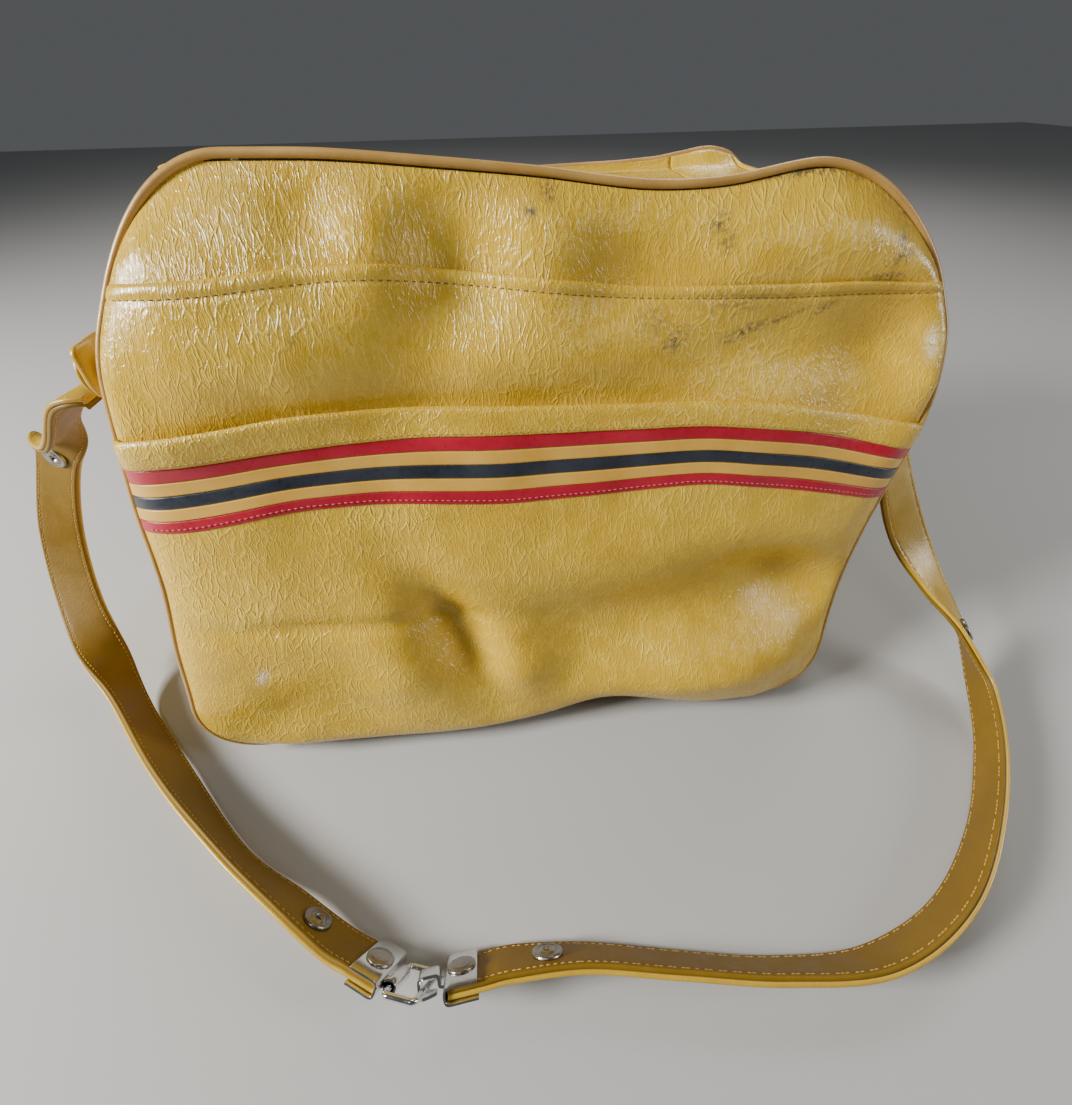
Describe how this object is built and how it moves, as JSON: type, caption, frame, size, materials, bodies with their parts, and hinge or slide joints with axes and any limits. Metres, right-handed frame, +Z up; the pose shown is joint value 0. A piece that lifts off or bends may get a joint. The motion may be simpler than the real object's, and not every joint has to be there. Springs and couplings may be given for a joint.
{
  "type": "bowling ball bag",
  "caption": "Soft vinyl bowling bag with a leaning wedge body, striped front slip pocket, zip top and clasped shoulder strap.",
  "frame": {"origin": "middle of the flat base, on the ground", "axes": "+X to the bag's left-to-right as seen from the pocket side, +Y from the pocket side to the back, +Z up"},
  "size_m": [0.644, 0.415, 0.2986],
  "materials": {
    "vinyl_yellow": "glossy pebbled vinyl",
    "piping_tan": "smooth piping",
    "stripe_crimson": "smooth crimson vinyl",
    "stripe_gold": "smooth gold vinyl",
    "stripe_navy": "smooth navy vinyl",
    "board": "fibreboard",
    "cradle": "moulded ring",
    "zip_tape": "woven tape",
    "zip_metal": "satin teeth and slider",
    "strap_backing": "smooth inner strap face",
    "chrome": "plated hardware"
  },
  "bodies": {
    "bag": {"front_panel": "vinyl_yellow", "front_yoke": "vinyl_yellow", "front_pocket": "vinyl_yellow", "pocket_facing": "vinyl_yellow", "stripe_crimson": "stripe_crimson", "stripe_gold": "stripe_gold", "stripe_navy": "stripe_navy", "back_panel": "vinyl_yellow", "gusset_left": "vinyl_yellow", "gusset_right": "vinyl_yellow", "bottom_panel": "vinyl_yellow", "base_board": "board", "ball_cradle": "cradle", "piping_front": "piping_tan", "piping_back": "piping_tan", "top_strip_front": "vinyl_yellow", "top_strip_back": "vinyl_yellow", "zip_end_left": "vinyl_yellow", "zip_end_right": "vinyl_yellow", "zip_stops": "zip_metal", "strap_tab_left": "vinyl_yellow", "strap_tab_right": "vinyl_yellow", "strap_rivets": "chrome"},
    "front_flap": {"top_flap_front": "vinyl_yellow", "zip_tape_front": "zip_tape", "zip_teeth_front": "zip_metal"},
    "rear_flap": {"top_flap_back": "vinyl_yellow", "zip_tape_back": "zip_tape", "zip_teeth_back": "zip_metal"},
    "slider": {"zip_slider": "zip_metal"},
    "pull": {"zip_pull": "zip_metal"},
    "strap": {"strap_end_left": "vinyl_yellow", "strap_end_right": "vinyl_yellow", "strap_left": "vinyl_yellow", "strap_left_backing": "strap_backing", "strap_right": "vinyl_yellow", "strap_right_backing": "strap_backing", "strap_studs": "chrome", "clasp_plate_left": "chrome", "clasp_plate_right": "chrome", "clasp_rivets": "chrome", "clasp_hook": "chrome"},
    "ring": {"clasp_ring": "chrome"}
  },
  "joints": [
    {"name": "front_flap_fold", "type": "hinge", "parent": "bag", "child": "front_flap", "pos_m": [0, -0.0265, 0.2752], "axis": [1, 0, 0], "range_deg": [0, 90]},
    {"name": "rear_flap_fold", "type": "hinge", "parent": "bag", "child": "rear_flap", "pos_m": [0, 0.1205, 0.2752], "axis": [1, 0, 0], "range_deg": [-90, 0]},
    {"name": "zip_slide", "type": "slide", "parent": "bag", "child": "slider", "axis": [1, 0, 0], "range_m": [-0.258, 0]},
    {"name": "pull_swing", "type": "hinge", "parent": "slider", "child": "pull", "pos_m": [0.129, 0.047, 0.2794], "axis": [0, 1, 0], "range_deg": [0, 95]},
    {"name": "strap_swing", "type": "hinge", "parent": "bag", "child": "strap", "pos_m": [0, -0.028, 0.224], "axis": [1, 0, 0], "range_deg": [-135, 0]},
    {"name": "ring_swing", "type": "hinge", "parent": "strap", "child": "ring", "pos_m": [-0.09258, -0.24934, 0.01616], "axis": [0.2833, 0.4552, -0.8441], "range_deg": [-5, 5]}
  ]
}
